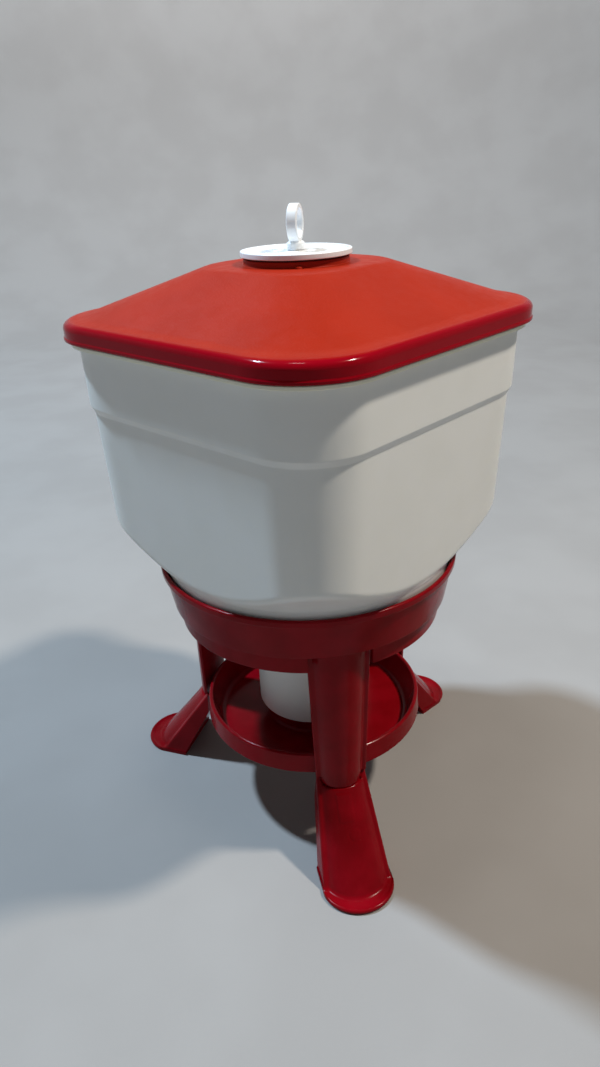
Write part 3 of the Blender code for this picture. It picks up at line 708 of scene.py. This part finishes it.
def neck_and_pan():
    bm = bmesh.new()
    add_turned(bm, rounded([
        (0.0680, 0.2633, 0.0016), (0.0680, 0.1200, 0.0012), (0.0654, 0.1200, 0.0012),
        (0.0654, 0.2602, 0.0010), (0.0268, 0.2602, 0.0004), (0.0268, 0.2633, 0.0004)]), 128)
    for angle in LEG_ANGLES:
        add_skin(bm, sector_rows(0.0600, 0.0660, 0.1360, 0.1412, angle, radians(28.0)), "capped")
    shown("outlet_neck_tube", bm, TANK_WHITE, "tank", "tank_white", "outlet_neck")
    turned_piece("neck_gasket_ring", [
        (0.0445, 0.2652, 0.0004), (0.0445, 0.2636, 0.0004), (0.0270, 0.2636), (0.0270, 0.2652)],
        RUBBER, "tank", "rubber", "neck_gasket")
    turned_piece("neck_nut_ring", [
        (0.0400, 0.2599, 0.0006), (0.0400, 0.2572, 0.0006), (0.0350, 0.2565, 0.0006),
        (0.0342, 0.2484, 0.0008), (0.0267, 0.2484, 0.0005), (0.0267, 0.2599)],
        CAP_WHITE, "tank", "cap_white", "neck_nut", segments=72)
    bm = bmesh.new()
    add_turned(bm, rounded([
        (0.0, 0.1520), (0.0530, 0.1512, 0.0040), (0.0556, 0.1480, 0.0030), (0.0560, 0.0995, 0.0020),
        (0.0590, 0.0960, 0.0030), (0.1160, 0.0960, 0.0060), (0.1205, 0.0990, 0.0060),
        (0.1278, 0.1235, 0.0060), (0.1292, 0.1275, 0.0020), (0.1315, 0.1284, 0.0020),
        (0.1337, 0.1270, 0.0014), (0.1352, 0.1036, 0.0008), (0.1330, 0.1036, 0.0008),
        (0.1318, 0.1222, 0.0020), (0.1300, 0.1222, 0.0020), (0.1225, 0.0970, 0.0040),
        (0.1170, 0.0934, 0.0030), (0.0565, 0.0934, 0.0030), (0.0534, 0.0975, 0.0030),
        (0.0528, 0.1470, 0.0030), (0.0, 0.1490)], closed=False, steps=6), 144)
    for angle in LEG_ANGLES:
        add_skin(bm, sector_rows(0.0550, 0.0630, 0.1418, 0.1462, angle, radians(24.0)), "capped")
    shown("drinking_pan_bowl", bm, STAND_RED, "pan", "stand_red", "drinking_pan")


# ---------------------------------------------------------------- legs
EDGE_STEPS = 5
FRONT_STEPS = 56
SIDE_STEPS = 6
BACK_STEPS = 4


def across(half, edge):
    """Places across a leg's front: close together on the rounded edges, even between them."""
    left = [-half + edge * (1.0 - cos(pi / 2 * k / EDGE_STEPS)) for k in range(EDGE_STEPS)]
    middle = [(-half + edge) + 2 * (half - edge) * k / FRONT_STEPS for k in range(FRONT_STEPS + 1)]
    return left + middle + [-t for t in reversed(left)]


def crest_arc(t, front, crest, dome):
    height = crest - front
    radius = (dome * dome + height * height) / (2.0 * height)
    return crest - radius + sqrt(max(radius * radius - t * t, 0.0))


def leg_points(section, height, edge, blend, relief=None):
    """Loop of points round a leg. section(z) gives (back, front, crest, half, dome).
    height(t) gives the row's height at a place t across the leg, as a share of the half width.
    relief(t, z) raises the surface."""
    points = []
    back, front, crest, half, dome = section(height(0.0))
    shares = [t / half for t in across(half, edge)]
    for share in shares:
        z = height(share)
        back, front, crest, half, dome = section(z)
        t = share * half
        x = smooth_max(front, crest_arc(t, front, crest, dome), blend)
        inward = edge - (half - abs(t))
        if inward > 0.0:
            x -= edge - sqrt(max(edge * edge - inward * inward, 0.0))
        if relief:
            x += relief(t, z)
        points.append((x, t, z))
    for side in (1.0, -1.0):
        z = height(side)
        back, front, crest, half, dome = section(z)
        xs = [front - edge + (back - front + edge) * k / SIDE_STEPS for k in range(1, SIDE_STEPS + 1)]
        if side < 0.0:
            xs = list(reversed(xs))
        points += [(x, side * half, z) for x in xs]
        if side > 0.0:
            for k in range(1, BACK_STEPS):
                share = 1.0 - 2.0 * k / BACK_STEPS
                points.append((section(height(share))[0], share * half, height(share)))
    return points


def upper_section(z):
    """The upper leg narrows evenly from its top to its foot."""
    half = 0.0291 + (0.0347 - 0.0291) * (z - 0.096) / (LEG_TOP - 0.096)
    return LEG_BACK, LEG_BACK + LEG_STRIP, LEG_CREST, half, half - 0.0060


def gate_dot(t, z):
    """Stub of the moulding gate, half-way up the leg and right of its crest."""
    distance = sqrt((t - 0.0125) ** 2 + (z - 0.1880) ** 2)
    return 0.0007 * (1.0 - smooth_step(0.0005, 0.0013, distance))


def level(z):
    return lambda share: z


def upper_leg(number, turn):
    bm = bmesh.new()
    rows = []
    plain_top, dot_top, dot_bottom = LEG_TOP - 0.020, 0.1920, 0.1836
    heights = [LEG_TOP - 0.0040 * k for k in range(5)]
    heights += [plain_top - (plain_top - dot_top) * k / 14 for k in range(14)]
    heights += [dot_top - 0.0006 * k for k in range(14)]
    heights += [dot_bottom - (dot_bottom - EAR_Z) * k / 14 for k in range(15)]
    for z in heights:
        rows.append(leg_points(upper_section, level(z), 0.0013, 0.0026, gate_dot))
    _, front, crest, _, dome = upper_section(EAR_Z)

    def dome_only(inset):
        return lambda z: (LEG_BACK + 0.0030 + inset, front - 0.0005 + inset, crest - 0.0003 - inset,
                          dome - inset, dome - 0.0005 - inset)

    for inset, z in ((0.0, EAR_Z), (0.0, 0.1020), (0.0, LEG_FOOT_Z + 0.0012), (0.0002, LEG_FOOT_Z + 0.0005),
                     (0.0008, LEG_FOOT_Z), (0.0034, LEG_FOOT_Z), (0.0034, 0.0800)):
        rows.append(leg_points(dome_only(inset), level(z), 0.0004, 0.0010))
    add_skin(bm, [spun(row, turn) for row in rows], "capped")
    node = f"leg_upper_{number}"
    return shown(f"{node}_shell", bm, STAND_RED, "stand", "stand_red", node)


def foot_section(z, inset=0.0):
    """Level section of the splayed foot, flared where it meets its plate."""
    down = (0.0955 - z) / 0.0955
    back = LEG_BACK if z > 0.076 else LEG_BACK + 0.0410 * (0.076 - z) / 0.076
    flare_radius = 0.0030
    above = min(flare_radius, max(0.0, z - PLATE_Z))
    flare = flare_radius - sqrt(flare_radius ** 2 - (flare_radius - above) ** 2)
    if inset:
        flare = 0.0
    proud = 0.0010 * smooth_step(0.080, 0.094, z)
    front = 0.1452 + 0.0680 * down + flare - inset
    crest = LEG_CREST + 0.0770 * down + flare + proud - inset
    half = 0.0295 + 0.0100 * down + flare * 0.4 - inset
    dome = 0.0238 + 0.0100 * down + flare * 0.4 + proud - inset
    return back + inset, front, crest, half, dome


PLATE_Z = 0.0044             # top of the foot's plate, inside its rolled edge
PLATE_MIDDLE = 0.2085        # where the plate's rounded toe begins
PLATE_HALF = 0.0408
BEAD = 0.00275               # radius of the rolled edge


def foot_relief(t, z):
    """Snap tongue under the foot's upper edge, and the round mark of the moulding gate below it."""
    sideways = smooth_step(0.0080, 0.0092, abs(t + 0.0028))
    lengthways = max(smooth_step(0.0912, 0.0924, z), 1.0 - smooth_step(0.0655, 0.0690, z))
    tongue = 0.0007 * (1.0 - max(sideways, lengthways))
    distance = sqrt((t - 0.0035) ** 2 + ((z - 0.0560) * 1.25) ** 2)
    ring = smooth_step(0.0062, 0.0072, distance) * (1.0 - smooth_step(0.0077, 0.0087, distance))
    return tongue - 0.0005 * ring


def ear_height(drop):
    """Height of a row near the foot's top: its sides rise into ears beside the upper leg."""
    rise = EAR_Z - FOOT_TOP

    def height(share):
        up = smooth_step(0.80, 0.90, abs(share))
        fade = 1.0 - smooth_step(0.0, 0.020, drop)
        return FOOT_TOP - drop + rise * up * fade
    return height


def plate_outline(points):
    """Outer edge of the foot's plate, matched point by point to the foot's own outline."""
    edge = []
    fronts = FRONT_STEPS + 2 * EDGE_STEPS + 1
    reach = FOOT_REACH - PLATE_MIDDLE
    turn_from = radians(80.0)
    for i, (x, t, _) in enumerate(points):
        if i < fronts:
            angle = -turn_from + 2.0 * turn_from * i / (fronts - 1)
            edge.append((PLATE_MIDDLE + reach * cos(angle), PLATE_HALF * sin(angle)))
        else:
            corner_x = PLATE_MIDDLE + reach * cos(turn_from)
            side = PLATE_HALF * sin(turn_from)
            if abs(t) > 0.038:
                edge.append((max(0.1765, min(x, corner_x)), side if t > 0 else -side))
            else:
                edge.append((0.1765, t))
    return edge


def foot_piece(number, turn):
    bm = bmesh.new()
    rows = []
    for inset, drop in ((0.0010, 0.0), (0.0003, 0.0003), (0.0, 0.0010)):
        rows.append(leg_points(lambda z: foot_section(z, inset), ear_height(drop), 0.0036, 0.0026))
    steps = 76
    for k in range(1, steps):
        drop = 0.0010 + (FOOT_TOP - 0.0010 - 0.0075) * k / (steps - 1)
        rows.append(leg_points(foot_section, ear_height(drop), 0.0036, 0.0026, foot_relief))
    for z in (0.0070, 0.0062, 0.0055, 0.0050, 0.0046, PLATE_Z):
        rows.append(leg_points(foot_section, level(z), 0.0036, 0.0026))
    last = rows[-1]
    edge = plate_outline(last)
    inner_bead = [(BEAD * (1 - cos(a)), BEAD + BEAD * sin(a)) for a in
                  [radians(d) for d in (130, 110, 90, 60, 30, 0, -30, -60)]]
    plate = [(0.0095, PLATE_Z), (0.0062, PLATE_Z)] + inner_bead + [(0.0024, 0.0)]
    for back_off, z in plate:
        row = []
        for (x, t, _), (ex, et) in zip(last, edge):
            gap = Vector((x - ex, t - et))
            share = min(1.0, back_off / gap.length) if gap.length > 1e-6 else 0.0
            row.append((ex + gap.x * share, et + gap.y * share, z))
        rows.append(row)
    for z in (0.0, 0.0300, 0.0600, 0.0758, 0.0900):
        rows.append(leg_points(lambda z: foot_section(z, 0.0026), level(z), 0.0010, 0.0020))
    rows.append(leg_points(lambda z: foot_section(z, 0.0024), ear_height(0.0), 0.0010, 0.0020))
    add_skin(bm, [spun(row, turn) for row in rows], "joined")
    node = f"leg_foot_{number}"
    return shown(f"{node}_shell", bm, STAND_RED, "stand", "stand_red", node)


# ---------------------------------------------------------------- base ring
def base_ring():
    bm = bmesh.new()
    add_turned(bm, rounded([
        (LIP_RADIUS, LIP_TOP, 0.0028), (LIP_RADIUS - 0.0003, LIP_TOP - 0.0080, 0.0018),
        (LIP_RADIUS - 0.0034, LIP_TOP - 0.0091, 0.0012), (0.1613, LEDGE_Z, 0.0012), (0.1508, LEDGE_Z, 0.0004),
        (0.1505, SEAT_Z, 0.0005), (0.1582, SEAT_Z, 0.0010), (0.1672, LIP_TOP, 0.0022)], steps=7), 160)
    half_slot = radians(13.2)
    for turn, following in zip(LEG_ANGLES, LEG_ANGLES[1:] + [LEG_ANGLES[0] + 2 * pi]):
        add_turned(bm, rounded([
            (BAND_RADIUS, LEDGE_Z + 0.0002), (BAND_RADIUS - 0.0004, BAND_BOTTOM, 0.0010),
            (BAND_RADIUS - 0.0032, BAND_BOTTOM, 0.0010), (BAND_RADIUS - 0.0030, LEDGE_Z + 0.0002)]),
            40, (turn + half_slot, following - half_slot))
        pad = [leg_points(upper_section, level(z), 0.0010, 0.0020)
               for z in (SEAT_Z - 0.0003, LEG_TOP + 0.0003)]
        add_skin(bm, [spun(row, turn) for row in pad], "capped")
    return shown("base_ring_shell", bm, STAND_RED, "stand", "stand_red", "base_ring")


# ---------------------------------------------------------------- the object
tank()
roof()
roof_nub()
roof_seal()
cap_pieces()
pull_ring()
valve_pieces()
neck_and_pan()
base_ring()
for number, leg_angle in enumerate(LEG_ANGLES, start=1):
    upper_leg(number, leg_angle)
    foot_piece(number, leg_angle)


# ---------------------------------------------------------------- floor, light and camera
def studio():
    """Pale floor that curves up all round into a tall backdrop."""
    flat, curve, top = 3.0, 1.2, 3.6
    look = Look("studio_pale", (0.32, 0.30, 0.285), 0.8, specular=0.1)
    look.colour(look.mixed(look.ranged(look.noise(0.25, 3.0), 0.35, 0.65),
                           (0.31, 0.29, 0.275), (0.33, 0.31, 0.295)))
    look.bump(look.noise(0.002, 2.0), 0.00008)
    bm = bmesh.new()
    outline = [(0.0, 0.0)] + [(flat / 5 * k, 0.0) for k in range(1, 6)]
    outline += [(flat + curve * sin(a), curve - curve * cos(a)) for a in [pi / 2 * k / 12 for k in range(1, 13)]]
    outline += [(flat + curve, top)]
    add_turned_open(bm, outline)
    mesh = bpy.data.meshes.new("studio_floor")
    bm.to_mesh(mesh)
    bm.free()
    mesh.materials.append(look.material)
    mesh.shade_smooth()
    floor = bpy.data.objects.new("studio_floor", mesh)
    bpy.context.scene.collection.objects.link(floor)


def add_turned_open(bm, outline, segments=96):
    """Open sheet turned about Z, from its centre outwards, facing up and inwards."""
    centre = bm.verts.new((0.0, 0.0, outline[0][1]))
    rings = [[bm.verts.new((r * cos(2 * pi * k / segments), r * sin(2 * pi * k / segments), z))
              for k in range(segments)] for r, z in outline[1:]]
    for k in range(segments):
        j = (k + 1) % segments
        bm.faces.new((centre, rings[0][k], rings[0][j]))
        for near, far in zip(rings, rings[1:]):
            bm.faces.new((near[k], far[k], far[j], near[j]))


def area_light(name, azimuth, elevation, distance, size, power, colour=(1.0, 1.0, 1.0)):
    """Round soft light, aimed at the object from a direction given in degrees."""
    data = bpy.data.lights.new(name, "AREA")
    data.shape = "DISK"
    data.size = size
    data.energy = power
    data.color = colour
    lamp = bpy.data.objects.new(name, data)
    bpy.context.scene.collection.objects.link(lamp)
    level, up = cos(radians(elevation)), sin(radians(elevation))
    towards = Vector((level * cos(radians(azimuth)), level * sin(radians(azimuth)), up))
    lamp.location = Vector((0.0, 0.0, 0.42)) + towards * distance
    lamp.rotation_euler = towards.to_track_quat("Z", "Y").to_euler()
    return lamp


def lights():
    area_light("right_light", -19.0, 57.0, 3.2, 0.25, 90.0, (1.0, 0.93, 0.82))
    area_light("left_light", 147.0, 59.0, 4.6, 0.34, 275.0, (0.60, 0.80, 1.0))
    area_light("top_light", 200.0, 84.0, 2.2, 0.30, 5.5)
    backdrop = area_light("backdrop_light", 80.0, 50.0, 3.2, 1.4, 60.0)
    backdrop.rotation_euler = Vector((-0.17, -0.98, 0.35)).to_track_quat("Z", "Y").to_euler()
    world = bpy.data.worlds.new("studio_air")
    world.use_nodes = True
    world.node_tree.nodes["Background"].inputs["Color"].default_value = (0.92, 0.93, 0.95, 1.0)
    world.node_tree.nodes["Background"].inputs["Strength"].default_value = 0.04
    bpy.context.scene.world = world


def camera():
    """Seen from a little left of the front leg, looking down."""
    place, turn, tilt, roll = (-0.1615, -0.7967, 0.7377), -10.870, 64.147, -2.504
    data = bpy.data.cameras.new("camera")
    data.lens = 26.027
    data.sensor_width = 36.0
    made = bpy.data.objects.new("camera", data)
    bpy.context.scene.collection.objects.link(made)
    aim = Matrix.Rotation(radians(turn), 4, "Z") @ Matrix.Rotation(radians(tilt), 4, "X")
    made.matrix_world = Matrix.Translation(place) @ aim @ Matrix.Rotation(radians(roll), 4, "Z")
    bpy.context.scene.camera = made


studio()
lights()
camera()
bpy.context.scene.view_settings.view_transform = "Standard"
